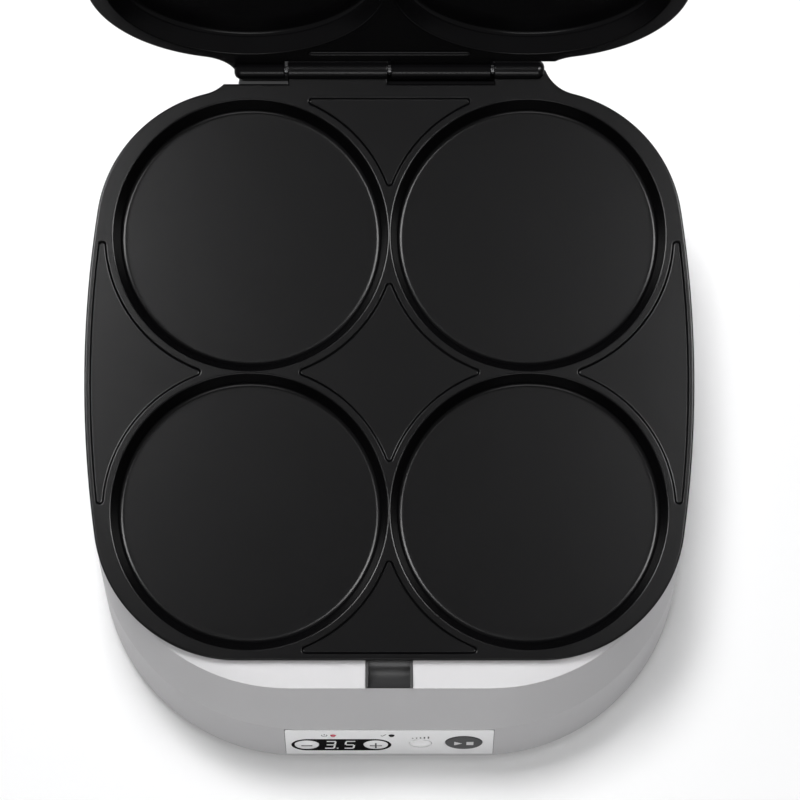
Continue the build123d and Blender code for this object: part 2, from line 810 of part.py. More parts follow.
# Control strip
with BuildPart() as control_fascia:
    with BuildSketch(strip_level(fascia_back)):
        RectangleRounded(fascia_width, fascia_height, fascia_corner)
        with Locations((capsule_x, capsule_y)):
            SlotOverall(capsule_length, capsule_height, mode=Mode.SUBTRACT)
        for x, y, radius in button_spots[2:]:
            with Locations((x, y)):
                Circle(radius + button_clearance, mode=Mode.SUBTRACT)
        with Locations(lens_spots):
            Circle(lens_radius + pin_clearance, mode=Mode.SUBTRACT)
    extrude(amount=fascia_thickness)
control_fascia.part.label = "control_fascia"
export_step(control_fascia.part, "parts/control_fascia.step")

with BuildPart() as display_window:
    with BuildSketch(strip_level(fascia_back)):
        with Locations((capsule_x, capsule_y)):
            SlotOverall(capsule_length - 2 * pin_clearance, capsule_height - 2 * pin_clearance)
    extrude(amount=fascia_thickness)
    with BuildSketch(strip_level(window_back)):
        with Locations((capsule_x, capsule_y)):
            SlotOverall(capsule_length + 2 * window_flange, capsule_height + 2 * window_flange)
    extrude(amount=window_flange_thickness)
    with BuildSketch(strip_level(window_back)):
        for x, y, radius in button_spots[:2]:
            with Locations((x, y)):
                Circle(radius + button_clearance)
    extrude(amount=fascia_thickness + window_flange_thickness, mode=Mode.SUBTRACT)
display_window.part.label = "display_window"
export_step(display_window.part, "parts/display_window.step")


def disc(out, x, y, radius):
    """Round face on the control strip's plane, moved out of the housing's face."""
    with BuildSketch(strip_level(out), mode=Mode.PRIVATE) as face:
        with Locations((x, y)):
            Circle(radius)
    return face.sketch


def push_button(x, y, radius):
    """Draw a button's cap, its retaining flange and the stem that ends just above its switch."""
    extrude(disc(button_flange_top, x, y, radius), amount=fascia_proud + button_proud - button_flange_top)
    rims = edges().filter_by(GeomType.CIRCLE).sort_by(Axis((0, 0, 0), slope_out))
    chamfer(rims[-1], button_chamfer)
    flange_face = disc(button_flange_top - button_flange_thickness, x, y, radius + button_flange)
    extrude(flange_face, amount=button_flange_thickness)
    stem_face = disc(fascia_proud - button_stem_end, x, y, button_stem_radius)
    extrude(stem_face, amount=button_stem_end - fascia_proud + button_flange_top)


with BuildPart() as minus_button:
    push_button(*button_spots[0])
minus_button.part.label = "minus_button"
export_step(minus_button.part, "parts/minus_button.step")

with BuildPart() as plus_button:
    push_button(*button_spots[1])
plus_button.part.label = "plus_button"
export_step(plus_button.part, "parts/plus_button.step")

with BuildPart() as extra_button:
    push_button(*button_spots[2])
extra_button.part.label = "extra_button"
export_step(extra_button.part, "parts/extra_button.step")

with BuildPart() as start_button:
    push_button(*button_spots[3])
start_button.part.label = "start_button"
export_step(start_button.part, "parts/start_button.step")


def indicator_lens(x, y):
    """Draw a domed lens with a shoulder behind the strip."""
    extrude(disc(fascia_back, x, y, lens_radius), amount=fascia_thickness + lens_dome)
    rims = edges().filter_by(GeomType.CIRCLE).sort_by(Axis((0, 0, 0), slope_out))
    chamfer(rims[-1], lens_dome)
    extrude(disc(window_back, x, y, lens_radius + lens_shoulder), amount=window_flange_thickness)


with BuildPart() as power_lens:
    indicator_lens(*lens_spots[0])
power_lens.part.label = "power_lens"
export_step(power_lens.part, "parts/power_lens.step")

with BuildPart() as ready_lens:
    indicator_lens(*lens_spots[1])
ready_lens.part.label = "ready_lens"
export_step(ready_lens.part, "parts/ready_lens.step")

with BuildPart() as control_board:
    with BuildSketch(strip_level(board_face - board_thickness)):
        with Locations((0, (board_bottom_y + board_top_y) / 2)):
            Rectangle(2 * board_half_width, board_top_y - board_bottom_y)
        with Locations(board_spots):
            Circle(board_screw_radius + screw_hole_clearance, mode=Mode.SUBTRACT)
    extrude(amount=board_thickness)
control_board.part.label = "control_board"
export_step(control_board.part, "parts/control_board.step")

with BuildPart() as control_board_screws:
    with BuildSketch(strip_level(board_face - board_thickness)):
        with Locations(board_spots):
            Circle(board_screw_radius)
    extrude(amount=board_screw_length)
    with BuildSketch(strip_level(board_face - board_thickness - board_screw_head_height)):
        with Locations(board_spots):
            Circle(board_screw_head_radius)
    extrude(amount=board_screw_head_height)
control_board_screws.part.label = "control_board_screws"
export_step(control_board_screws.part, "parts/control_board_screws.step")

with BuildPart() as button_switches:
    for x, y, radius in button_spots:
        with BuildSketch(strip_level(board_face)):
            with Locations((x, y)):
                Rectangle(switch_size, switch_size)
        extrude(amount=switch_body_height)
        with BuildSketch(strip_level(board_face + switch_body_height)):
            with Locations((x, y)):
                Circle(switch_plunger_radius)
        extrude(amount=switch_plunger_height)
button_switches.part.label = "button_switches"
export_step(button_switches.part, "parts/button_switches.step")

with BuildPart() as display_module:
    with BuildSketch(strip_level(board_face)):
        with Locations((capsule_x, capsule_y)):
            Rectangle(display_width, display_height)
    extrude(amount=window_back - display_gap - board_face)
display_module.part.label = "display_module"
export_step(display_module.part, "parts/display_module.step")

with BuildPart() as indicator_leds:
    with BuildSketch(strip_level(board_face)):
        with Locations(lens_spots):
            Circle(led_radius)
    extrude(amount=window_back - display_gap - board_face)
indicator_leds.part.label = "indicator_leds"
export_step(indicator_leds.part, "parts/indicator_leds.step")


# Lid: a frame that carries the upper plate, and a domed cover that laps into it
frame_top_z = lid_seat_z + lid_frame_height
shoulder_z = frame_top_z + lid_shoulder_height
lid_top_z = shoulder_z + lid_top_height
lid_shelf_z = mating_z - boss_end
frame_edge_z = lid_seat_z + upper_crease_drop
frame_inner = rim_overhang + seat_width
handle_back_y = -plate_half_depth
handle_tip_y = handle_back_y - handle_reach
handle_low_z = lid_seat_z + handle_lift
handle_mid_z = handle_low_z + handle_thickness / 2
latch_pin_y = handle_back_y - latch_pin_reach

with BuildPart() as closed_frame:
    loft(
        [
            plate_outline(lid_seat_z, rim_overhang),
            plate_outline(frame_edge_z, 0),
            plate_outline(frame_top_z, 0),
        ],
        ruled=True,
    )
    with BuildSketch(Plane.XY.offset(lid_seat_z)):
        add(necked_outline(0, rim_overhang + neck_set_in, neck_rear_y))
        with Locations((0, neck_start + plate_half_depth)):
            Rectangle(4 * plate_half_width, 2 * plate_half_depth, mode=Mode.INTERSECT)
    extrude(amount=lid_frame_height - lid_lap)
    with BuildSketch(Plane.XY.offset(lid_seat_z)):
        add(plate_outline(0, frame_inner))
    extrude(amount=lid_frame_height, mode=Mode.SUBTRACT)
    with BuildSketch(Plane.XY.offset(lid_shelf_z)):
        add(plate_outline(0, frame_inner / 2))
        RectangleRounded(
            2 * shelf_opening_half, 2 * shelf_opening_half, shelf_opening_radius, mode=Mode.SUBTRACT
        )
        with Locations(boss_spots):
            Circle(screw_radius + screw_hole_clearance, mode=Mode.SUBTRACT)
    extrude(amount=shelf_thickness)
    with BuildSketch(Plane.XZ.offset(plate_half_depth - frame_inner - cut_spare)):
        with Locations([(x * handle_screw_x, handle_mid_z) for x in (-1, 1)]):
            Circle(screw_radius + screw_hole_clearance)
    extrude(amount=frame_inner + 2 * cut_spare, mode=Mode.SUBTRACT)

with BuildPart() as lid_frame:
    add(swung_open(closed_frame.part))
lid_frame.part.label = "lid_frame"
export_step(lid_frame.part, "parts/lid_frame.step")

with BuildPart() as closed_cover:
    loft(
        [
            plate_outline(frame_top_z, 0),
            plate_outline(shoulder_z, lid_shoulder_draw),
            plate_outline(lid_top_z, lid_top_draw),
        ],
        ruled=True,
    )
    loft(
        [
            plate_outline(frame_top_z - cut_spare, wall),
            plate_outline(shoulder_z - wall / 2, lid_shoulder_draw + wall),
            plate_outline(lid_top_z - wall, lid_top_draw + wall),
        ],
        ruled=True,
        mode=Mode.SUBTRACT,
    )
    with BuildSketch(Plane.XY.offset(frame_top_z - lid_lap)):
        add(plate_outline(0, frame_inner + lid_lap_fit))
        add(plate_outline(0, frame_inner + lid_lap_fit + wall), mode=Mode.SUBTRACT)
    extrude(amount=2 * lid_lap)

with BuildPart() as lid_cover:
    add(swung_open(closed_cover.part))
lid_cover.part.label = "lid_cover"
export_step(lid_cover.part, "parts/lid_cover.step")

# Handle: a tapered lip with a slot for the latch clip
with BuildPart() as closed_handle:
    with BuildSketch(Plane.YZ.offset(-handle_half_width)):
        with BuildLine():
            Polyline(
                (handle_back_y, handle_low_z),
                (handle_back_y, handle_low_z + handle_thickness),
                (handle_tip_y, handle_mid_z + handle_tip_thickness / 2),
                (handle_tip_y, handle_mid_z - handle_tip_thickness / 2),
                close=True,
            )
        make_face()
    extrude(amount=2 * handle_half_width)
    fillet(closed_handle.edges().filter_by(Axis.Z).group_by(Axis.Y)[0], handle_corner)
    top_face = closed_handle.faces().sort_by(Axis.Z)[-1]
    under_face = closed_handle.faces().sort_by(Axis.Z)[0]
    rim = top_face.edges() + under_face.edges()
    fillet(rim.filter_by(lambda e: e.center().Y < handle_back_y - cut_spare), handle_edge_round)
    with BuildSketch(Plane.XY.offset(handle_low_z - cut_spare)):
        with Locations((0, handle_back_y - (handle_slot_front + handle_slot_back) / 2)):
            Rectangle(2 * handle_slot_half, handle_slot_front - handle_slot_back)
    extrude(amount=handle_thickness + 2 * cut_spare, mode=Mode.SUBTRACT)
    with BuildSketch(Plane.YZ.offset(-latch_pin_length / 2)):
        with Locations((latch_pin_y, handle_mid_z)):
            Circle(latch_pin_radius + pin_clearance)
    extrude(amount=latch_pin_length, mode=Mode.SUBTRACT)
    with BuildSketch(Plane.XZ.offset(-handle_back_y)):
        with Locations([(x * handle_screw_x, handle_mid_z) for x in (-1, 1)]):
            Circle(screw_radius + screw_hole_clearance)
    extrude(amount=handle_screw_length, mode=Mode.SUBTRACT)

with BuildPart() as lid_handle:
    add(swung_open(closed_handle.part))
lid_handle.part.label = "lid_handle"
export_step(lid_handle.part, "parts/lid_handle.step")

with BuildPart() as closed_handle_screws:
    with BuildSketch(Plane.XZ.offset(-handle_back_y - frame_inner)):
        with Locations([(x * handle_screw_x, handle_mid_z) for x in (-1, 1)]):
            Circle(screw_radius)
    extrude(amount=handle_screw_length)
    with BuildSketch(Plane.XZ.offset(-handle_back_y - frame_inner)):
        with Locations([(x * handle_screw_x, handle_mid_z) for x in (-1, 1)]):
            Circle(handle_screw_head)
    extrude(amount=-screw_head_height)

with BuildPart() as handle_screws:
    add(swung_open(closed_handle_screws.part))
handle_screws.part.label = "handle_screws"
export_step(handle_screws.part, "parts/handle_screws.step")

with BuildPart() as closed_latch_pin:
    with BuildSketch(Plane.YZ.offset(-latch_pin_length / 2 + pin_end_play)):
        with Locations((latch_pin_y, handle_mid_z)):
            Circle(latch_pin_radius)
    extrude(amount=latch_pin_length - 2 * pin_end_play)

with BuildPart() as latch_pin:
    add(swung_open(closed_latch_pin.part))
latch_pin.part.label = "latch_pin"
export_step(latch_pin.part, "parts/latch_pin.step")

# Latch clip, drawn hooked under the lower plate's edge, as distances from its pin
clip_axis = Axis((0, latch_pin_y, handle_mid_z), (1, 0, 0))
hook_top = seat_z - clip_hook_gap - handle_mid_z
hook_bottom = hook_top - clip_hook_thickness
hook_tip = latch_pin_reach + clip_hook_reach
clip_plane = Plane(origin=(-clip_half_width, latch_pin_y, handle_mid_z), x_dir=(0, 1, 0), z_dir=(1, 0, 0))
with BuildPart() as locked_clip:
    with BuildSketch(clip_plane):
        with BuildLine():
            Polyline(
                (-clip_thickness, 0),
                (clip_slant, hook_bottom + clip_hook_bevel),
                (clip_slant + clip_hook_bevel, hook_bottom),
                (hook_tip - clip_hook_bevel, hook_bottom + clip_hook_bevel / 2),
                (hook_tip, hook_top),
                (clip_slant + clip_thickness, hook_top),
                (clip_thickness, 0),
                (clip_thickness / 2, clip_tab_height),
                (-clip_thickness, clip_tab_height),
                close=True,
            )
        make_face()
        Circle(latch_barrel_radius)
        Circle(latch_pin_radius + pin_clearance, mode=Mode.SUBTRACT)
    extrude(amount=2 * clip_half_width)

with BuildPart() as latch_clip:
    add(swung_open(locked_clip.part.rotate(clip_axis, -clip_open_angle)))
latch_clip.part.label = "latch_clip"
export_step(latch_clip.part, "parts/latch_clip.step")
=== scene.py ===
"""Looks of a countertop pancake maker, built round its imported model. Sizes are in millimetres and
are turned into metres where a mesh is made."""

import json
import math

import bmesh
import bpy
from mathutils import Matrix, Vector


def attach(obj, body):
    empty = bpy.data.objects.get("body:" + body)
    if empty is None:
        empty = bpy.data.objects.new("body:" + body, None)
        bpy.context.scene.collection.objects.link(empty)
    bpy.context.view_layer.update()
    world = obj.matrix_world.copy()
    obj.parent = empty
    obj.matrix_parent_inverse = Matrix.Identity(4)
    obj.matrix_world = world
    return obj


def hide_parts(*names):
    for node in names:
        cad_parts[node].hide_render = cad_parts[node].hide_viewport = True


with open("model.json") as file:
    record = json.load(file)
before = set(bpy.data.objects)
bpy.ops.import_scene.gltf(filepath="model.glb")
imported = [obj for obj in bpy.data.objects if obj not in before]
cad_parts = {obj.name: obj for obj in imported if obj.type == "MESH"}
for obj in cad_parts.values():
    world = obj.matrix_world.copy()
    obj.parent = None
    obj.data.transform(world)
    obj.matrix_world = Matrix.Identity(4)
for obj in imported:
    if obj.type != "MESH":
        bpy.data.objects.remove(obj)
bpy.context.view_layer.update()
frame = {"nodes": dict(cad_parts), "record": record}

MM = 0.001

# Cooking plates, whose outline stands a little over the housing's and the lid's, most at the hinge neck
MATING_Z = 62.0
DECK_TOP = -0.3
DECK_THICKNESS = 3.2
DECK_BOTTOM = DECK_TOP - DECK_THICKNESS
WELL_RADIUS = 62.0
WELL_OFFSET = 63.0
WELL_DEPTH = 9.5
WELL_DRAFT = 2.5
WELL_MOUTH_ROUND = 0.95
WELL_FLOOR_ROUND = 2.4
WELL_FLOOR_SHARES = (0.94, 0.8, 0.6, 0.4, 0.2)
CASTING_WALL = 2.5
CASTING_FOOT = 4.0
PLATE_HALF_WIDTH = 137.9
PLATE_HALF_DEPTH = 130.0
PLATE_CORNER = 65.0
SIDE_BOW = 520.0
DECK_EDGE_ROUND = 0.9
PANEL_DEPTH = 1.25
PANEL_SLOPE = 1.3
PANEL_TIP_ROUND = 1.4
PANEL_BORDER = 4.0
PANEL_EDGE_INSET = 2.8
PANEL_FRONT_INSET = 3.2
PANEL_REAR_INSET = 4.2
PANEL_HALF_LENGTH = 59.6
FLAT_RIM = 0.04
LID_HALF_WIDTH = 136.8
LID_CORNER = 68.0
LID_BOW = 686.0
LID_WALL = 18.0
COVER_LAP = 3.0
COVER_FRAME_EDGE = 2.7
COVER_INSIDE = 5.3
COVER_RISE = (
    (0.0, 0.0), (0.1, 3.0), (0.9, 6.4), (2.9, 9.6), (5.9, 12.3), (9.8, 14.7),
    (14.5, 16.7), (20.0, 18.2), (27.0, 19.2), (38.0, 19.8), (50.0, 20.0),
)
COVER_INNER_RISE = ((8.0, 11.0), (16.0, 14.8), (30.0, 17.2), (50.0, 17.5))

# Hinge
HINGE_Y = 139.0
STEP_Y = 132.6
NECK_HALF = 70.0
NECK_ROUND = 18.0
KNUCKLE_GAP = 1.4
KNUCKLE_RADIUS = 4.35
KNUCKLE_SOFT = 0.6
KNUCKLE_DOME = 3.2
KNUCKLE_SPANS = ((-46.3, -0.7), (47.7, 70.7))
LID_ANGLE = 107.0

# Rails on the neck's rear edge, as (y, height): the housing's reaches under the knuckles, the lid's only
# caps its wall. The housing's rail is black, partly a cover and partly painted shade of the hinge gaps,
# and dark grey at its left end, which is painted shade of the silver housing there.
LIP = (
    (132.75, -3.48), (134.18, -3.48), (134.18, -7.0), (147.2, -7.0), (147.8, -6.6),
    (148.0, -6.1), (147.8, -5.6), (147.2, -5.3), (135.6, -5.3), (134.9, -5.0),
    (134.6, -4.4), (134.5, -3.25), (134.3, -3.0), (132.75, -3.0),
)
CAP = ((132.75, -3.48), (134.3, -3.48), (134.5, -3.25), (134.3, -3.0), (132.75, -3.0))
RAIL_LEFT = -68.8
RAIL_SPLIT = -46.3
RAIL_RIGHT = 68.6

# Control strip, measured up its slope from the strip's middle
LOWER_CREASE_Z = 38.0
HOUSING_BOTTOM_Z = 4.0
LOWER_CREASE_REACH = 30.0
BOTTOM_REACH = 41.0
STRIP_BELOW_CREASE = 17.0
STRIP_WIDTH = 95.0
STRIP_HEIGHT = 31.2
STRIP_PROUD = 0.3
STRIP_FIT = 0.2
CAPSULE_Y = -3.4
MINUS_X = -37.8
PLUS_X = -6.2
DIAL_BUTTON_RADIUS = 5.7
EXTRA_BUTTON = (14.2, -1.4, 5.1)
START_BUTTON = (34.0, -0.2, 8.5)
FLANGE_TOP = -1.9
STEM_END = -4.9
DIGIT_WIDTH = 5.0
DIGIT_HEIGHT = 10.4
DIGIT_SLANT = 0.1
DIGIT_STROKE = 1.2
DIGIT_UPRIGHT = 0.85
DIGIT_GAP = 0.3
DIGIT_SPAN = (STRIP_PROUD - 0.05, STRIP_PROUD + 0.03)
DIGIT_PLACES = (-27.0, -18.1)
POINT_X = (-24.2, -23.4)
LENS_Y = 9.2
GAP_SHADE_SPAN = (-0.85, -0.02)
FLAT_PROUD = 0.5
MARK_SPAN = (STRIP_PROUD, STRIP_PROUD + 0.54)
PRINT_SPAN = (STRIP_PROUD - 0.1, STRIP_PROUD + 0.02)
ON_X = -29.6

# Camera, fitted to the four wells
CAMERA_LENS = 161.55
CAMERA_PLACE = (0.00485, -0.2102, 1.6696)
CAMERA_TILT = 7.0

# Strength of the surroundings as light on the object, and share of glow that the camera adds to the floor
WORLD_LIGHT = 0.3
FLOOR_GLOW = 0.1


def mesh_piece(name, build, body, material, node=None, smooth_angle=40.0, placed=None):
    """Make an object from a function that fills a bmesh in millimetres, and ride it on its body."""
    bm = bmesh.new()
    build(bm)
    bmesh.ops.remove_doubles(bm, verts=bm.verts, dist=0.001)
    bmesh.ops.recalc_face_normals(bm, faces=bm.faces)
    for face in bm.faces:
        face.smooth = True
    bm.transform((placed or Matrix.Identity(4)))
    bm.transform(Matrix.Scale(MM, 4))
    data = bpy.data.meshes.new(name)
    bm.to_mesh(data)
    bm.free()
    piece = bpy.data.objects.new(name, data)
    bpy.context.scene.collection.objects.link(piece)
    data.materials.append(material)
    piece.modifiers.new("weighted", "WEIGHTED_NORMAL").keep_sharp = True
    data.set_sharp_from_angle(angle=math.radians(smooth_angle))
    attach(piece, body)
    if node:
        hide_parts(node)
    return piece


def bridge(bm, ring_a, ring_b, close=True):
    """Quads between two rings of as many vertices."""
    count = len(ring_a)
    for i in range(count if close else count - 1):
        j = (i + 1) % count
        bm.faces.new((ring_a[i], ring_a[j], ring_b[j], ring_b[i]))


def ring_of(bm, points, z):
    """Vertices of a level ring."""
    return [bm.verts.new((x, y, z)) for x, y in points]


def ladder(bm, rings):
    """Bridge each (points, height) ring to the next and return the vertices of the first and last."""
    made = [ring_of(bm, points, z) for points, z in rings]
    for a, b in zip(made, made[1:]):
        bridge(bm, a, b)
    return made[0], made[-1]


def fill_between(bm, rings, up=1):
    """Fill the flat area bounded by the rings, of which the first is the outer one."""
    edges = []
    for ring in rings:
        for a, b in zip(ring, ring[1:] + ring[:1]):
            edges.append(bm.edges.get((a, b)) or bm.edges.new((a, b)))
    bmesh.ops.triangle_fill(bm, use_beauty=True, use_dissolve=False, edges=edges, normal=(0, 0, up))


def circle(x, y, radius, count=120):
    """Points of a circle."""
    turns = [2 * math.pi * i / count for i in range(count)]
    return [(x + radius * math.cos(t), y + radius * math.sin(t)) for t in turns]


def arc(x, y, radius, start, end, count):
    """Points of an arc, its start left out and its end kept."""
    turns = [start + (end - start) * (i + 1) / count for i in range(count)]
    return [(x + radius * math.cos(t), y + radius * math.sin(t)) for t in turns]


def line(start, end, count):
    """Points of a straight run, its start left out and its end kept."""
    shares = [(i + 1) / count for i in range(count)]
    return [(start[0] + (end[0] - start[0]) * s, start[1] + (end[1] - start[1]) * s) for s in shares]


def corner(end_y, half_width, radius, bow):
    """Centre of the round between an end and the bowed side, and the turn where the bow meets it."""
    bow_x = half_width - bow
    y = end_y - math.copysign(radius, end_y)
    x = bow_x + math.sqrt((bow - radius) ** 2 - y * y)
    return x, y, math.atan2(y, x - bow_x)


def lid_outline(inset):
    """Closed outline of the lid: straight ends, bowed sides and round corners."""
    end_y, half, radius = PLATE_HALF_DEPTH - inset, LID_HALF_WIDTH - inset, LID_CORNER - inset
    x, y, turn = corner(end_y, half, radius, LID_BOW)
    points = [(0.0, -end_y)]
    points += line((0.0, -end_y), (x, -end_y), 10)
    points += arc(x, -y, radius, -math.pi / 2, -turn, 34)
    points += arc(half - LID_BOW, 0, LID_BOW, -turn, turn, 20)
    points += arc(x, y, radius, turn, math.pi / 2, 34)
    points += line((x, end_y), (0.0, end_y), 10)
    return points + [(-x, y) for x, y in reversed(points[1:-1])]


def neck_side(inset, end_y):
    """Right side of the plate from the front's middle up the hinge neck to a height on the neck."""
    half = PLATE_HALF_WIDTH - inset
    radius = PLATE_CORNER - inset
    fx, fy, front_turn = corner(-PLATE_HALF_DEPTH + inset, half, radius, SIDE_BOW)
    rx, ry, rear_turn = corner(PLATE_HALF_DEPTH - inset, half, radius, SIDE_BOW)
    root = NECK_ROUND + inset
    root_x = NECK_HALF - inset + root
    root_y = ry + math.sqrt((radius + root) ** 2 - (root_x - rx) ** 2)
    meet = math.atan2(root_y - ry, root_x - rx)
    points = [(0.0, -PLATE_HALF_DEPTH + inset)]
    points += line(points[0], (fx, -PLATE_HALF_DEPTH + inset), 10)
    points += arc(fx, fy, radius, -math.pi / 2, front_turn, 34)
    points += arc(half - SIDE_BOW, 0, SIDE_BOW, front_turn, rear_turn, 20)
    points += arc(rx, ry, radius, rear_turn, meet, 30)
    stop = -math.pi
    if end_y < root_y:
        stop = -math.pi + math.asin((root_y - end_y) / root)
    points += arc(root_x, root_y, root, meet - math.pi, stop, 10)
    points += line(points[-1], (points[-1][0], max(end_y, points[-1][1] + 0.01)), 2)
    return points


def necked_outline(inset):
    """The plate's outline with its tongues towards the knuckles and its cuts for the other plate's."""
    step = STEP_Y - inset
    right = neck_side(inset, HINGE_Y)
    left = [(-x, y) for x, y in reversed(neck_side(inset, step)[1:])]
    rear = []
    for start, end in reversed(KNUCKLE_SPANS):
        inner = start + inset
        outer = min(end, NECK_HALF) - inset
        if end < NECK_HALF:
            rear += line((outer, step), (outer, HINGE_Y), 2)
        rear += line((outer, HINGE_Y), (inner, HINGE_Y), 4)
        rear += line((inner, HINGE_Y), (inner, step), 2)
        if end > NECK_HALF:
            rear += line((inner, step), (-KNUCKLE_GAP / 2 - inset, step), 8)
    return right + rear + left


def panel_half_span(radius):
    """Distance along an axis from a well's middle line to where two wells' borders cross."""
    return math.sqrt(radius * radius - WELL_OFFSET * WELL_OFFSET)


def arc_side(x, y, radius, start, end, count, bulge):
    """Points and outward directions along an arc that swells out (bulge 1) or hollows (bulge -1)."""
    turns = [start + (end - start) * i / count for i in range(count + 1)]
    return [
        ((x + radius * math.cos(t), y + radius * math.sin(t)), (bulge * math.cos(t), bulge * math.sin(t)))
        for t in turns
    ]


def line_side(start, end, count):
    """Points and outward directions along a straight side that is walked anticlockwise."""
    dx, dy = end[0] - start[0], end[1] - start[1]
    length = math.hypot(dx, dy)
    return [
        ((start[0] + dx * i / count, start[1] + dy * i / count), (dy / length, -dx / length))
        for i in range(count + 1)
    ]


def grown(sides, distance, fan=6):
    """Ring of an anticlockwise outline moved outwards, its corners rounded by fans of points."""
    points = []
    for side, following in zip(sides, sides[1:] + sides[:1]):
        points += [(x + nx * distance, y + ny * distance) for (x, y), (nx, ny) in side]
        (x, y), leaving = side[-1]
        arriving = following[0][1]
        start = math.atan2(leaving[1], leaving[0])
        sweep = (math.atan2(arriving[1], arriving[0]) - start) % (2 * math.pi)
        for t in [start + sweep * i / fan for i in range(1, fan)]:
            points.append((x + distance * math.cos(t), y + distance * math.sin(t)))
    return points


def turned(sides, quarters):
    """The same sides turned by quarter turns about the middle."""
    cos, sin = (1, 0, -1, 0)[quarters], (0, 1, 0, -1)[quarters]
    return [
        [tuple((x * cos - y * sin, x * sin + y * cos) for x, y in pair) for pair in side]
        for side in sides
    ]


def middle_panel():
    """Sides of the panel between all four wells."""
    radius = WELL_RADIUS + PANEL_BORDER + PANEL_TIP_ROUND
    tip = WELL_OFFSET - panel_half_span(radius)
    start = math.atan2(-WELL_OFFSET, tip - WELL_OFFSET)
    end = math.atan2(tip - WELL_OFFSET, -WELL_OFFSET)
    side = [arc_side(WELL_OFFSET, WELL_OFFSET, radius, start, end, 28, -1)]
    return [turned(side, quarters)[0] for quarters in range(4)]


def side_panel():
    """Sides of the right-hand panel between two wells and the plate's bowed side."""
    radius = WELL_RADIUS + PANEL_BORDER + PANEL_TIP_ROUND
    half = PLATE_HALF_WIDTH - PANEL_EDGE_INSET - PANEL_TIP_ROUND
    end_y = PANEL_HALF_LENGTH - PANEL_TIP_ROUND
    tip = WELL_OFFSET + panel_half_span(radius)
    end_x = WELL_OFFSET + math.sqrt(radius ** 2 - (WELL_OFFSET - end_y) ** 2)
    bow = math.asin(end_y / SIDE_BOW)
    side_x = half - SIDE_BOW + SIDE_BOW * math.cos(bow)
    near = math.atan2(end_y - WELL_OFFSET, end_x - WELL_OFFSET)
    far = math.atan2(-WELL_OFFSET, tip - WELL_OFFSET)
    return [
        arc_side(half - SIDE_BOW, 0, SIDE_BOW, -bow, bow, 40, 1),
        line_side((side_x, end_y), (end_x, end_y), 3),
        arc_side(WELL_OFFSET, WELL_OFFSET, radius, near, far, 34, -1),
        arc_side(WELL_OFFSET, -WELL_OFFSET, radius, -far, -near, 34, -1),
        line_side((end_x, -end_y), (side_x, -end_y), 3),
    ]


def end_panel(inset):
    """Sides of the rear panel between two wells and the plate's straight end."""
    radius = WELL_RADIUS + PANEL_BORDER + PANEL_TIP_ROUND
    end_y = PLATE_HALF_DEPTH - inset - PANEL_TIP_ROUND
    tip = WELL_OFFSET + panel_half_span(radius)
    half = WELL_OFFSET - math.sqrt(radius ** 2 - (end_y - WELL_OFFSET) ** 2)
    near = math.atan2(end_y - WELL_OFFSET, WELL_OFFSET - half)
    far = math.atan2(tip - WELL_OFFSET, WELL_OFFSET)
    return [
        line_side((half, end_y), (-half, end_y), 30),
        arc_side(-WELL_OFFSET, WELL_OFFSET, radius, near, far, 30, -1),
        arc_side(WELL_OFFSET, WELL_OFFSET, radius, math.pi - far, math.pi - near, 30, -1),
    ]


def soft_step(share):
    """Smooth rise from nought to one."""
    return share * share * (3 - 2 * share)


def revolve_rings(x, y, profile):
    """Rings of a round form from (radius, height) pairs."""
    return [(circle(x, y, radius), z) for radius, z in profile]


def quarter(radius, steps):
    """Shares of a quarter round: how far along and how far down at each step."""
    turns = [math.pi / 2 * i / steps for i in range(steps + 1)]
    return [(radius * (1 - math.sin(t)), radius * (1 - math.cos(t))) for t in turns]


def knuckle(bm, start, end, domed):
    """Barrel of the hinge with softened ends, the outermost one domed."""
    soft = KNUCKLE_SOFT
    profile = [(KNUCKLE_RADIUS - soft, start)] + [
        (KNUCKLE_RADIUS - soft + soft * math.sin(t), start + soft * (1 - math.cos(t)))
        for t in [math.pi / 2 * i / 4 for i in range(1, 5)]
    ]
    last = KNUCKLE_DOME if domed else soft
    profile += [
        (KNUCKLE_RADIUS - last + last * math.cos(t), end - last + last * math.sin(t))
        for t in [math.pi / 2 * i / 8 for i in range(9)]
    ]
    rings = []
    for radius, x in profile:
        turns = [2 * math.pi * i / 40 for i in range(40)]
        points = [(x, HINGE_Y + radius * math.cos(t), radius * math.sin(t)) for t in turns]
        rings.append([bm.verts.new(point) for point in points])
    for a, b in zip(rings, rings[1:]):
        bridge(bm, a, b)
    bm.faces.new(rings[0])
    bm.faces.new(rings[-1])


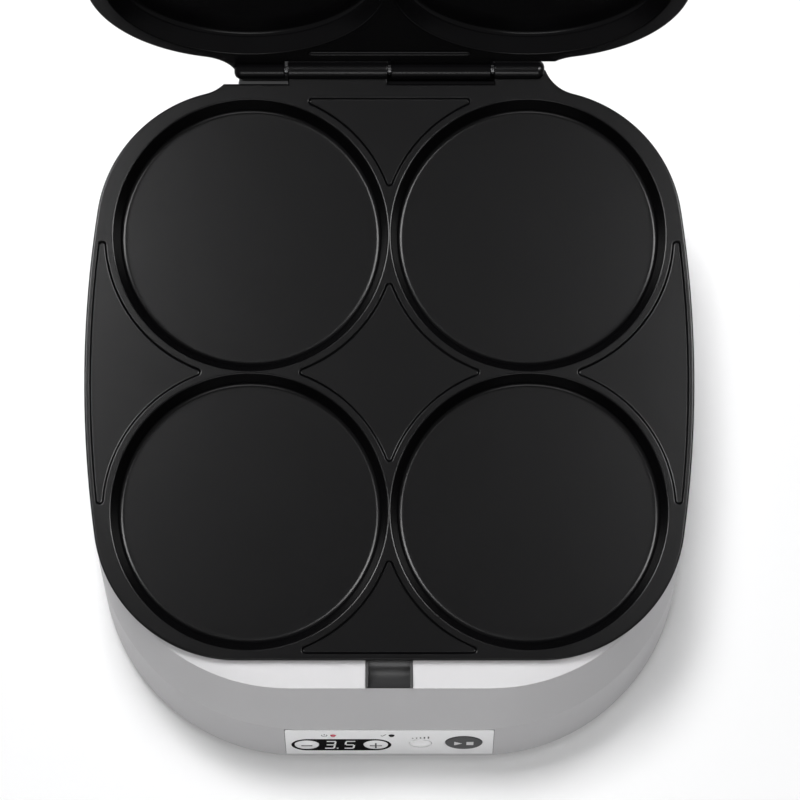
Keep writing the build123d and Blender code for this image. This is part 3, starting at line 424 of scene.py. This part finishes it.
def build_plate(bm):
    """Cooking plate casting, mating plane at zero, wells below."""
    top_holes, under_holes = [], []
    wells = [(sx * WELL_OFFSET, sy * WELL_OFFSET) for sx in (-1, 1) for sy in (-1, 1)]
    floor_z = DECK_TOP - WELL_DEPTH
    low_radius = WELL_RADIUS - WELL_DRAFT
    for x, y in wells:
        profile = [(WELL_RADIUS + WELL_MOUTH_ROUND + FLAT_RIM, DECK_TOP)]
        for across, down in quarter(WELL_MOUTH_ROUND, 6):
            profile.append((WELL_RADIUS + across, DECK_TOP - down))
        for i in range(9):
            t = math.pi / 2 * i / 8
            profile.append((
                low_radius - WELL_FLOOR_ROUND * (1 - math.cos(t)),
                floor_z + WELL_FLOOR_ROUND * (1 - math.sin(t)),
            ))
        profile += [(low_radius * share, floor_z) for share in WELL_FLOOR_SHARES]
        first, last = ladder(bm, revolve_rings(x, y, profile))
        bm.faces.new(last)
        top_holes.append(first)
        under = floor_z - CASTING_WALL
        outside = low_radius + CASTING_WALL
        dish = [
            (WELL_RADIUS + CASTING_WALL - CASTING_FOOT / 2, DECK_BOTTOM),
            (outside, under + CASTING_FOOT),
            (outside - 0.3 * CASTING_FOOT, under + 0.3 * CASTING_FOOT),
            (outside - CASTING_FOOT, under),
            (low_radius / 2, under),
        ]
        first, last = ladder(bm, revolve_rings(x, y, dish))
        bm.faces.new(last)
        under_holes.append(first)

    for sides in (
        middle_panel(),
        side_panel(),
        turned(side_panel(), 2),
        end_panel(PANEL_REAR_INSET),
        turned(end_panel(PANEL_FRONT_INSET), 2),
    ):
        brink = PANEL_TIP_ROUND + PANEL_SLOPE / 2
        rings = [(grown(sides, brink + FLAT_RIM * 5), DECK_TOP)]
        for share in [i / 8 for i in range(9)]:
            fall = PANEL_DEPTH * soft_step(share)
            rings.append((grown(sides, brink - PANEL_SLOPE * share), DECK_TOP - fall))
        rings.append((grown(sides, brink - PANEL_SLOPE - 0.3), DECK_TOP - PANEL_DEPTH))
        first, last = ladder(bm, rings)
        fill_between(bm, [last])
        top_holes.append(first)

    edge = [(necked_outline(DECK_EDGE_ROUND + 0.3), DECK_TOP)]
    for across, down in quarter(DECK_EDGE_ROUND, 5):
        edge.append((necked_outline(across), DECK_TOP - down))
    edge = edge[:1] + sorted(edge[1:], key=lambda r: -r[1])
    edge.append((necked_outline(0), DECK_BOTTOM + 0.3))
    edge.append((necked_outline(0.3), DECK_BOTTOM))
    first, last = ladder(bm, edge)
    fill_between(bm, [first] + top_holes)
    fill_between(bm, [last] + under_holes, up=-1)
    for start, end in KNUCKLE_SPANS:
        knuckle(bm, start, end, end > NECK_HALF)


def build_button(bm, x, y, radius, top, dome):
    """Push button in the strip's axes: stem, flange and a cap whose top swells by the dome."""
    soft = 0.45
    profile = [(1.8, STEM_END), (1.8, FLANGE_TOP - 0.5), (radius + 0.8, FLANGE_TOP - 0.5)]
    profile += [(radius + 0.8, FLANGE_TOP), (radius, FLANGE_TOP)]
    rim = top - dome
    for turn in [math.pi / 2 * i / 5 for i in range(6)]:
        profile.append((radius - soft + soft * math.cos(turn), rim - soft + soft * math.sin(turn)))
    for share in (0.9, 0.75, 0.55, 0.35, 0.15):
        profile.append(((radius - soft) * share, rim + dome * (1 - share * share)))
    first, last = ladder(bm, revolve_rings(x, y, profile))
    bm.faces.new(first)
    bm.faces.new(last)


def slab(bm, points, bottom, top):
    """Flat polygon with a little thickness."""
    low, high = ladder(bm, [(points, bottom), (points, top)])
    bm.faces.new(low)
    bm.faces.new(high)


def bar(bm, start, end, width, bottom, top):
    """Straight stroke between two points."""
    along = Vector(end) - Vector(start)
    across = Vector((-along.y, along.x)).normalized() * width / 2
    points = [Vector(start) + across, Vector(end) + across, Vector(end) - across, Vector(start) - across]
    slab(bm, [tuple(p) for p in points], bottom, top)


def curved_bar(bm, x, y, radius, start, end, width, bottom, top):
    """Stroke along an arc."""
    outside = arc(x, y, radius + width / 2, start, end, 20)
    inside = arc(x, y, radius - width / 2, start, end, 20)
    rows = [[bm.verts.new((*p, z)) for p in points] for points, z in (
        (outside, bottom), (outside, top), (inside, top), (inside, bottom))]
    for a, b in zip(rows, rows[1:] + rows[:1]):
        bridge(bm, a, b, close=False)
    for i in (0, -1):
        bm.faces.new([row[i] for row in rows])


def build_digit(bm, x, segments):
    """Seven-segment numeral, leaning a little to the right."""
    half, tall = DIGIT_WIDTH / 2 - 0.45, DIGIT_HEIGHT / 2 - 0.6
    gap = DIGIT_GAP
    strokes = {
        "top": ((-half, tall), (half, tall), DIGIT_STROKE),
        "middle": ((-half + gap, 0), (half - gap, 0), DIGIT_STROKE),
        "bottom": ((-half, -tall), (half, -tall), DIGIT_STROKE),
        "upper_left": ((-half, gap), (-half, tall - gap), DIGIT_UPRIGHT),
        "upper_right": ((half, gap), (half, tall - gap), DIGIT_UPRIGHT),
        "lower_right": ((half, -tall + gap), (half, -gap), DIGIT_UPRIGHT),
    }
    for name in segments:
        start, end, width = strokes[name]
        lean = [(x + u + DIGIT_SLANT * v, CAPSULE_Y + v) for u, v in (start, end)]
        bar(bm, *lean, width, *DIGIT_SPAN)


def build_reading(bm):
    """Number on the display: minutes with one decimal."""
    minutes, tenths = DIGIT_PLACES
    build_digit(bm, minutes, ("top", "upper_right", "middle", "lower_right", "bottom"))
    build_digit(bm, tenths, ("top", "upper_left", "middle", "lower_right", "bottom"))
    start, end = [(x, CAPSULE_Y - 4.6) for x in POINT_X]
    bar(bm, start, end, 1.1, *DIGIT_SPAN)


def build_strip_marks(bm):
    """Plain symbols beside the lenses and the extra button: on, ready and more."""
    curved_bar(bm, ON_X, LENS_Y, 1.25, math.radians(130), math.radians(410), 0.4, *PRINT_SPAN)
    bar(bm, (ON_X, LENS_Y + 0.3), (ON_X, LENS_Y + 1.8), 0.4, *PRINT_SPAN)
    bar(bm, (-3.9, LENS_Y + 0.1), (-3.1, LENS_Y - 1.1), 0.45, *PRINT_SPAN)
    bar(bm, (-3.3, LENS_Y - 1.1), (-1.5, LENS_Y + 1.4), 0.45, *PRINT_SPAN)
    for i in range(5):
        x = EXTRA_BUTTON[0] - 3.6 + 1.8 * i
        bar(bm, (x, 5.0), (x, 5.9 + 0.45 * i), 0.7, *PRINT_SPAN)


def build_start_marks(bm):
    """Triangle beside a square on the start button."""
    x, y = START_BUTTON[:2]
    low, high = STRIP_PROUD, STRIP_PROUD + 0.55
    slab(bm, [(x - 4.4, y - 2.3), (x - 0.8, y), (x - 4.4, y + 2.3)], low, high)
    slab(bm, [(x + 1.2, y - 2.0), (x + 4.4, y - 2.0), (x + 4.4, y + 2.0), (x + 1.2, y + 2.0)], low, high)


def build_gap_shade(bm):
    """Dark frame in the gap round the control strip, painted shade of the gap."""
    half, tall = STRIP_WIDTH / 2, STRIP_HEIGHT / 2
    low, high = GAP_SHADE_SPAN
    rows = []
    for grow, z in ((STRIP_FIT, low), (STRIP_FIT, high), (0.01, high), (0.01, low)):
        x, y = half + grow, tall + grow
        rows.append(ring_of(bm, [(x, y), (-x, y), (-x, -y), (x, -y)], z))
    for a, b in zip(rows, rows[1:] + rows[:1]):
        bridge(bm, a, b)


def build_rail(bm, profile, left, right):
    """Bar of one profile, given as (y, z) points, between two places along the hinge."""
    ends = [[bm.verts.new((x, y, z)) for y, z in profile] for x in (left, right)]
    bridge(bm, *ends)
    for end in ends:
        bm.faces.new(end)


def build_cover(bm):
    """Closed lid's domed cover: a shell that turns in over its shoulder, with a lap inside the frame."""
    edge_z = MATING_Z - DECK_BOTTOM + LID_WALL
    lap_z = edge_z - COVER_LAP
    rings = [
        (lid_outline(COVER_INSIDE), lap_z),
        (lid_outline(COVER_FRAME_EDGE), lap_z),
        (lid_outline(COVER_FRAME_EDGE), edge_z),
    ]
    rings += [(lid_outline(inset), edge_z + rise) for inset, rise in COVER_RISE]
    fill_between(bm, [ladder(bm, rings)[1]])
    inner = ((COVER_INSIDE, -COVER_LAP), (COVER_INSIDE, 8.0)) + COVER_INNER_RISE
    under = [(lid_outline(inset), edge_z + rise) for inset, rise in inner]
    fill_between(bm, [ladder(bm, under)[1]], up=-1)


# Materials
def nodes_of(material):
    """Principled shader and node tree of a new material."""
    tree = material.node_tree
    return tree, tree.nodes["Principled BSDF"]


def finish(name, color, rough, metallic=0.0, grain=0.0, grain_size=0.6, mottle=0.0, mottle_size=30.0,
           specular=0.5, coat=0.0, rough_spread=0.0, scratches=0.0):
    """Procedural finish: colour with a slow mottle, roughness that varies, and a fine grain in relief."""
    material = bpy.data.materials.new(name)
    material.use_nodes = True
    tree, shader = nodes_of(material)
    nodes, links = tree.nodes, tree.links
    place = nodes.new("ShaderNodeTexCoord")
    shader.inputs["Metallic"].default_value = metallic
    shader.inputs["Specular IOR Level"].default_value = specular
    shader.inputs["Coat Weight"].default_value = coat
    shader.inputs["Coat Roughness"].default_value = 0.12

    slow = nodes.new("ShaderNodeTexNoise")
    slow.inputs["Scale"].default_value = 1.0 / (mottle_size * MM)
    slow.inputs["Detail"].default_value = 5.0
    links.new(place.outputs["Object"], slow.inputs["Vector"])
    tint = nodes.new("ShaderNodeMapRange")
    tint.inputs["From Min"].default_value = 0.25
    tint.inputs["From Max"].default_value = 0.75
    tint.inputs["To Min"].default_value = 1.0 - mottle
    tint.inputs["To Max"].default_value = 1.0 + mottle
    links.new(slow.outputs["Fac"], tint.inputs["Value"])
    shade = nodes.new("ShaderNodeMix")
    shade.data_type = "RGBA"
    shade.blend_type = "MULTIPLY"
    shade.inputs["Factor"].default_value = 1.0
    shade.inputs["A"].default_value = (*color, 1.0)
    links.new(tint.outputs["Result"], shade.inputs["B"])
    links.new(shade.outputs["Result"], shader.inputs["Base Color"])

    fine = nodes.new("ShaderNodeTexNoise")
    fine.inputs["Scale"].default_value = 1.0 / (grain_size * MM)
    fine.inputs["Detail"].default_value = 3.0
    fine.inputs["Roughness"].default_value = 0.6
    links.new(place.outputs["Object"], fine.inputs["Vector"])
    gloss = nodes.new("ShaderNodeMapRange")
    gloss.inputs["From Min"].default_value = 0.2
    gloss.inputs["From Max"].default_value = 0.8
    gloss.inputs["To Min"].default_value = max(0.02, rough - rough_spread)
    gloss.inputs["To Max"].default_value = min(1.0, rough + rough_spread)
    links.new(fine.outputs["Fac"], gloss.inputs["Value"])
    links.new(gloss.outputs["Result"], shader.inputs["Roughness"])

    height = fine.outputs["Fac"]
    if scratches:
        streak_place = nodes.new("ShaderNodeMapping")
        streak_place.inputs["Scale"].default_value = (1.0, 0.02, 1.0)
        links.new(place.outputs["Object"], streak_place.inputs["Vector"])
        streak = nodes.new("ShaderNodeTexNoise")
        streak.inputs["Scale"].default_value = 1.0 / (0.4 * MM)
        streak.inputs["Detail"].default_value = 2.0
        links.new(streak_place.outputs["Vector"], streak.inputs["Vector"])
        both = nodes.new("ShaderNodeMath")
        both.operation = "MULTIPLY_ADD"
        both.inputs[1].default_value = scratches
        links.new(streak.outputs["Fac"], both.inputs[0])
        links.new(fine.outputs["Fac"], both.inputs[2])
        height = both.outputs["Value"]
    relief = nodes.new("ShaderNodeBump")
    relief.inputs["Strength"].default_value = grain
    relief.inputs["Distance"].default_value = 0.05 * MM
    links.new(height, relief.inputs["Height"])
    links.new(relief.outputs["Normal"], shader.inputs["Normal"])
    return material


coating = finish("coating", (0.0022, 0.0021, 0.0024), 0.24, grain=0.3, grain_size=0.5, mottle=0.18,
                 specular=0.04, rough_spread=0.06)
silver = finish("silver_paint", (0.54, 0.535, 0.545), 0.45, metallic=0.05, grain=0.12, grain_size=0.25,
                mottle=0.02, specular=0.05, rough_spread=0.05)
# Dark grey that is painted shade: the silver housing in the lid's shadow at the hinge's left cut
painted_shade_grey = finish("painted_shade_grey", (0.05, 0.05, 0.051), 0.5, grain=0.2, grain_size=0.3, mottle=0.1,
                     specular=0.05)
black_plastic = finish("black_plastic", (0.014, 0.014, 0.015), 0.38, grain=0.35, grain_size=0.35,
                       mottle=0.1, specular=0.4, rough_spread=0.07)
catch_plastic = finish("catch_plastic", (0.035, 0.035, 0.036), 0.38, grain=0.1, grain_size=0.35,
                       mottle=0.1, specular=0.08, rough_spread=0.03)
# Darkened steel for the hinge pin: its darkness is painted shade in the knuckle gaps
pin_steel_painted_shade = finish("pin_steel_painted_shade", (0.02, 0.02, 0.021), 0.4, metallic=0.6, grain=0.15, mottle=0.1,
                    rough_spread=0.08)
steel = finish("bright_steel", (0.56, 0.56, 0.58), 0.28, metallic=1.0, grain=0.15, mottle=0.05,
               scratches=0.6, rough_spread=0.08)
rubber = finish("black_rubber", (0.02, 0.02, 0.021), 0.75, grain=0.6, grain_size=0.3, mottle=0.1,
                specular=0.3)
strip_paint = finish("strip_paint", (0.95, 0.95, 0.96), 0.3, metallic=0.1, grain=0.06, grain_size=0.2,
                     mottle=0.015, specular=0.5, rough_spread=0.04, coat=1.0)
window_black = finish("window_black", (0.002, 0.002, 0.0022), 0.18, grain=0.0, mottle=0.1, specular=0.004)
print_dark = finish("dark_print", (0.03, 0.03, 0.032), 0.5, grain=0.1, mottle=0.1, specular=0.2)
print_pale = finish("pale_print", (0.72, 0.72, 0.72), 0.5, grain=0.1, mottle=0.04, specular=0.2)
lit_segment = finish("lit_segment", (0.9, 0.9, 0.9), 0.5, grain=0.0, mottle=0.03, specular=0.2)
button_white = finish("button_white", (0.97, 0.97, 0.98), 0.22, grain=0.02, mottle=0.01, specular=0.6,
                      coat=1.0)
button_grey = finish("button_grey", (0.05, 0.05, 0.052), 0.3, grain=0.04, mottle=0.03, specular=0.12)
red_lens = finish("red_lens", (0.55, 0.01, 0.05), 0.15, mottle=0.1, specular=0.6, coat=0.5)
dark_lens = finish("dark_lens", (0.006, 0.005, 0.006), 0.15, mottle=0.1, specular=0.05)
element_steel = finish("element_steel", (0.12, 0.105, 0.095), 0.45, metallic=0.9, grain=0.3, mottle=0.35,
                       mottle_size=12.0, rough_spread=0.1)
sheet_metal = finish("bright_sheet", (0.7, 0.7, 0.71), 0.35, metallic=1.0, grain=0.15, mottle=0.04,
                     scratches=0.8)
ceramic = finish("ceramic", (0.75, 0.73, 0.68), 0.3, grain=0.05, mottle=0.05)
laminate = finish("green_laminate", (0.02, 0.11, 0.045), 0.35, grain=0.3, grain_size=0.5, mottle=0.12)

slot_materials = {
    "housing": silver,
    "dark_plastic": black_plastic,
    "steel": steel,
    "rubber": rubber,
    "coated_plate": coating,
    "element": element_steel,
    "shield": sheet_metal,
    "ceramic": ceramic,
    "circuit_board": laminate,
    "display": window_black,
    "fascia": strip_paint,
    "red_lens": red_lens,
    "dark_lens": dark_lens,
    "bright_button": button_white,
    "dark_button": button_grey,
}


def dress_nodes():
    """Give every carried-over node its material and soft edges."""
    slots = {part["node"]: part["material_slot"] for part in frame["record"]["subparts"]}
    for name, node in frame["nodes"].items():
        node.data.materials.clear()
        node.data.materials.append(slot_materials[slots[name]])
        for face in node.data.polygons:
            face.use_smooth = True
        node.data.set_sharp_from_angle(angle=math.radians(18))
        flat = node.modifiers.new("flat", "DECIMATE")
        flat.decimate_type = "DISSOLVE"
        flat.angle_limit = math.radians(0.5)
        soft = node.modifiers.new("soft", "BEVEL")
        soft.width = 0.3 * MM
        soft.segments = 2
        soft.limit_method = "ANGLE"
        soft.angle_limit = math.radians(25)
        soft.harden_normals = False
        node.modifiers.new("weighted", "WEIGHTED_NORMAL").keep_sharp = True


dress_nodes()
frame["nodes"]["latch_catch"].data.materials[0] = catch_plastic
# The hinge pin's dark finish paints the shade in the gaps between the knuckles
frame["nodes"]["hinge_pin"].data.materials[0] = pin_steel_painted_shade

LOWER = Matrix.Translation((0, 0, MATING_Z))
HINGE = Matrix.Translation((0, HINGE_Y, MATING_Z))
SWUNG = HINGE @ Matrix.Rotation(math.radians(-LID_ANGLE), 4, "X") @ HINGE.inverted()
UPPER = SWUNG @ LOWER @ Matrix.Rotation(math.pi, 4, "Y")

lower_plate = mesh_piece("plate_lower", build_plate, "base", coating, "lower_cooking_plate", placed=LOWER)
mesh_piece("plate_upper", build_plate, "lid", coating, "upper_cooking_plate", placed=UPPER)
mesh_piece("cover_dome", build_cover, "lid", silver, "lid_cover", placed=SWUNG)


def dress_rail(name, profile, left, right, body, material, placed):
    """Add a rail at the hinge."""
    mesh_piece(name, lambda bm: build_rail(bm, profile, left, right), body, material, placed=placed)


# Black rail under the knuckles: partly a cover, and its black partly painted shade that fills the hinge
# gaps
dress_rail("hinge_lip_dark", LIP, RAIL_SPLIT, RAIL_RIGHT, "base", coating, LOWER)
# Left end of the housing's rail: painted shade of the silver housing, on which the lid casts no shadow
# here
dress_rail("hinge_lip_painted_shade", LIP, RAIL_LEFT, RAIL_SPLIT - 0.1, "base", painted_shade_grey, LOWER)
dress_rail("hinge_cap", CAP, RAIL_LEFT, RAIL_RIGHT, "lid", coating, UPPER)

lean = math.atan2(BOTTOM_REACH - LOWER_CREASE_REACH, LOWER_CREASE_Z - HOUSING_BOTTOM_Z)
STRIP = Matrix.Translation((
    0,
    -PLATE_HALF_DEPTH - LOWER_CREASE_REACH - STRIP_BELOW_CREASE * math.sin(lean),
    LOWER_CREASE_Z - STRIP_BELOW_CREASE * math.cos(lean),
)) @ Matrix.Rotation(math.pi / 2 - lean, 4, "X")


def dress_button(name, x, y, radius, proud, dome, material):
    """Replace a button's node with a softer one."""
    def build(bm):
        build_button(bm, x, y, radius, STRIP_PROUD + proud, dome)

    mesh_piece(name + "_cap", build, name, material, name, placed=STRIP)


dress_button("minus_button", MINUS_X, CAPSULE_Y, DIAL_BUTTON_RADIUS, FLAT_PROUD, 0.35, button_white)
dress_button("plus_button", PLUS_X, CAPSULE_Y, DIAL_BUTTON_RADIUS, FLAT_PROUD, 0.35, button_white)
dress_button("extra_button", *EXTRA_BUTTON, 1.3, 0.9, button_white)
dress_button("start_button", *START_BUTTON, FLAT_PROUD, 0.2, button_grey)


def build_minus_mark(bm):
    """Stroke on the minus button."""
    bar(bm, (MINUS_X - 2.5, CAPSULE_Y), (MINUS_X + 2.5, CAPSULE_Y), 0.9, *MARK_SPAN)


def build_plus_mark(bm):
    """Crossed strokes on the plus button."""
    low, high = MARK_SPAN
    bar(bm, (PLUS_X - 2.8, CAPSULE_Y), (PLUS_X + 2.8, CAPSULE_Y), 0.9, low, high)
    bar(bm, (PLUS_X, CAPSULE_Y - 3.2), (PLUS_X, CAPSULE_Y + 3.2), 0.75, low, high + 0.01)


mesh_piece("minus_mark", build_minus_mark, "minus_button", print_dark, placed=STRIP)
mesh_piece("plus_mark", build_plus_mark, "plus_button", print_dark, placed=STRIP)
mesh_piece("display_reading", build_reading, "base", lit_segment, placed=STRIP)
mesh_piece("strip_marks", build_strip_marks, "base", print_dark, placed=STRIP)
mesh_piece("start_marks", build_start_marks, "start_button", print_pale, placed=STRIP)
# Black frame in the strip's gap: painted shade along the strip's edges
mesh_piece("strip_gap_shade", build_gap_shade, "base", rubber, placed=STRIP)


# Camera, lamps and floor
def add_camera():
    """Camera at the photograph's viewing angle."""
    data = bpy.data.cameras.new("camera")
    data.lens = CAMERA_LENS
    data.sensor_width = 36.0
    data.clip_end = 50.0
    camera = bpy.data.objects.new("camera", data)
    camera.location = CAMERA_PLACE
    camera.rotation_euler = (math.radians(CAMERA_TILT), 0, 0)
    bpy.context.scene.collection.objects.link(camera)
    bpy.context.scene.camera = camera


def add_lamp(name, place, target, size, watts, mirrored_only=False):
    """Soft lamp that faces a point, some of them seen in reflections only."""
    data = bpy.data.lights.new(name, "AREA")
    data.shape = "RECTANGLE"
    data.size, data.size_y = size
    data.energy = watts
    lamp = bpy.data.objects.new(name, data)
    lamp.location = place
    lamp.rotation_euler = (Vector(target) - Vector(place)).to_track_quat("-Z", "Y").to_euler()
    lamp.visible_diffuse = not mirrored_only
    lamp.visible_glossy = mirrored_only or name != "overhead"
    bpy.context.scene.collection.objects.link(lamp)
    return lamp


def add_world():
    """Even pale surroundings, white where the camera looks straight at them."""
    world = bpy.data.worlds.new("studio")
    bpy.context.scene.world = world
    world.use_nodes = True
    nodes, links = world.node_tree.nodes, world.node_tree.links
    nodes.clear()
    path = nodes.new("ShaderNodeLightPath")
    seen = path.outputs["Is Camera Ray"]
    for other in ("Is Glossy Ray", "Is Transmission Ray"):
        either = nodes.new("ShaderNodeMath")
        either.operation = "MAXIMUM"
        links.new(seen, either.inputs[0])
        links.new(path.outputs[other], either.inputs[1])
        seen = either.outputs["Value"]
    glow = nodes.new("ShaderNodeBackground")
    glow.inputs["Color"].default_value = (1, 1, 1, 1)
    strength = nodes.new("ShaderNodeMapRange")
    strength.inputs["To Min"].default_value = WORLD_LIGHT
    strength.inputs["To Max"].default_value = 1.0
    links.new(seen, strength.inputs["Value"])
    links.new(strength.outputs["Result"], glow.inputs["Strength"])
    output = nodes.new("ShaderNodeOutputWorld")
    links.new(glow.outputs["Background"], output.inputs["Surface"])


def add_floor():
    """Pale floor that keeps the shadow."""
    bm = bmesh.new()
    bmesh.ops.create_grid(bm, x_segments=1, y_segments=1, size=6.0)
    data = bpy.data.meshes.new("floor")
    bm.to_mesh(data)
    bm.free()
    floor = bpy.data.objects.new("floor", data)
    bpy.context.scene.collection.objects.link(floor)
    material = bpy.data.materials.new("floor")
    material.use_nodes = True
    tree, shader = nodes_of(material)
    shader.inputs["Base Color"].default_value = (0.85, 0.85, 0.855, 1)
    shader.inputs["Roughness"].default_value = 0.9
    shader.inputs["Specular IOR Level"].default_value = 0.1
    shader.inputs["Emission Color"].default_value = (1, 1, 1, 1)
    path = tree.nodes.new("ShaderNodeLightPath")
    lift = tree.nodes.new("ShaderNodeMath")
    lift.operation = "MULTIPLY"
    lift.inputs[1].default_value = FLOOR_GLOW
    tree.links.new(path.outputs["Is Camera Ray"], lift.inputs[0])
    tree.links.new(lift.outputs["Value"], shader.inputs["Emission Strength"])
    floor.data.materials.append(material)


add_camera()
add_world()
add_floor()
object_middle = (0, 0, 0.05)
overhead = add_lamp("overhead", (-0.5, 1.9, 3.0), (0, 0, 0), (1.2, 1.2), 114.0)
add_lamp("front_fill", (-0.1, -1.4, 1.0), (0, 0, 0.03), (1.2, 0.8), 3.0)
add_lamp("front_strip", (0, -1.2, 1.2), (0, -0.14, 0.05), (0.9, 0.3), 22.0, mirrored_only=True)
sides = [
    add_lamp(name, place, object_middle, (0.4, 1.0), 125.0, mirrored_only=True)
    for name, place in (("left_strip", (-0.8, 0.4, 1.35)), ("right_strip", (0.85, 0.3, 1.35)))
]

# The key lamp's light passes through the lid without a shadow, and the side strips don't show in the lid
standing = bpy.data.collections.new("standing_pieces")
for name in frame["record"]["behaviour"]["bodies"]["base"]:
    standing.objects.link(frame["nodes"][name])
standing.objects.link(lower_plate)
overhead.light_linking.blocker_collection = standing
for lamp in sides:
    lamp.light_linking.receiver_collection = standing

scene = bpy.context.scene
scene.view_settings.view_transform = "Standard"
